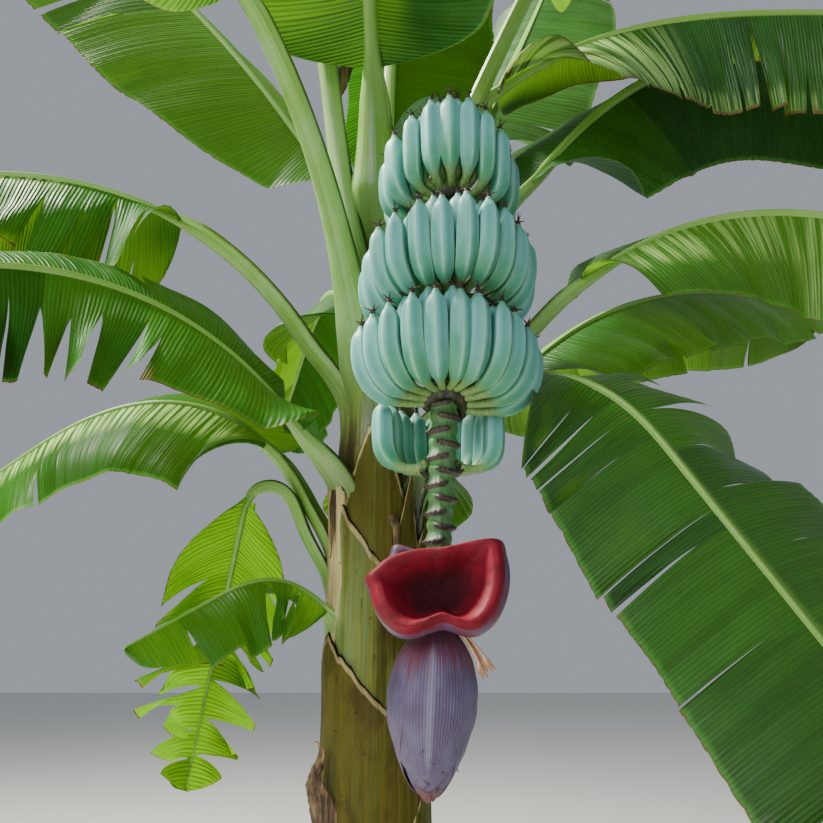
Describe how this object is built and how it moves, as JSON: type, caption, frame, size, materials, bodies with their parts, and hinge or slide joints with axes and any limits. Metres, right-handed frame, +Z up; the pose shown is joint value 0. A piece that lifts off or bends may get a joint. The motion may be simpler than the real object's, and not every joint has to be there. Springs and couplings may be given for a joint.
{
  "type": "banana plant",
  "caption": "Tall banana plant in fruit: a wrapped green false stem, long arching leaves, and a hanging bunch with a purple bud and a lifted red bract.",
  "frame": {"origin": "middle of the flat cut under the false stem, at ground level", "axes": "+Z up along the false stem, -Y toward the side on which the bunch hangs, +X to the right of someone facing the bunch"},
  "size_m": [3.6817, 3.0889, 4.3255],
  "materials": {
    "sheath": "matt, fibrous",
    "leaf_stalk": "waxy satin",
    "leaf_blade": "glossy upper side, dull lower side",
    "fruit": "matt with a pale bloom",
    "fruit_stalk": "matt",
    "bud": "matt with a pale bloom",
    "bract": "satin",
    "flower": "matt"
  },
  "bodies": {
    "root": {"pseudostem": "sheath", "fruit_stalk_arch": "fruit_stalk", "stalk_high_right": "leaf_stalk", "stalk_back_upright": "leaf_stalk", "stalk_high_left": "leaf_stalk", "stalk_steep_right": "leaf_stalk", "stalk_upright_right": "leaf_stalk", "stalk_crown": "leaf_stalk", "stalk_under_right": "leaf_stalk", "stalk_steep_left": "leaf_stalk", "stalk_arch_left": "leaf_stalk", "stalk_tall_left": "leaf_stalk", "stalk_back_left": "leaf_stalk", "stalk_front_right": "leaf_stalk", "stalk_mid_right": "leaf_stalk", "stalk_low_arch_left": "leaf_stalk", "stalk_back_right": "leaf_stalk", "stalk_back_low": "leaf_stalk", "stalk_mid_left": "leaf_stalk", "stalk_hanging_left": "leaf_stalk", "stalk_small_left": "leaf_stalk", "blade_tall_left": "leaf_blade", "blade_crown": "leaf_blade", "blade_high_left": "leaf_blade", "blade_arch_left_inner": "leaf_blade", "blade_arch_left_outer": "leaf_blade", "blade_low_arch_left_inner": "leaf_blade", "blade_low_arch_left_outer": "leaf_blade", "blade_mid_left_inner": "leaf_blade", "blade_mid_left_outer": "leaf_blade", "blade_hanging_left": "leaf_blade", "blade_small_left": "leaf_blade", "blade_front_right_inner": "leaf_blade", "blade_front_right_outer": "leaf_blade", "blade_mid_right_inner": "leaf_blade", "blade_mid_right_outer": "leaf_blade", "blade_under_right": "leaf_blade", "blade_high_right_inner": "leaf_blade", "blade_high_right_outer": "leaf_blade", "blade_upright_right": "leaf_blade", "blade_steep_right": "leaf_blade", "blade_steep_left": "leaf_blade", "blade_back_upright": "leaf_blade", "blade_back_right_inner": "leaf_blade", "blade_back_right_outer": "leaf_blade", "blade_back_left_inner": "leaf_blade", "blade_back_left_outer": "leaf_blade", "blade_back_low_inner": "leaf_blade", "blade_back_low_outer": "leaf_blade", "rachis": "fruit_stalk", "hand_top": "fruit", "hand_second": "fruit", "hand_third": "fruit", "hand_last": "fruit", "male_bud": "bud", "lifted_bract": "bract", "male_flowers": "flower"}
  },
  "joints": []
}
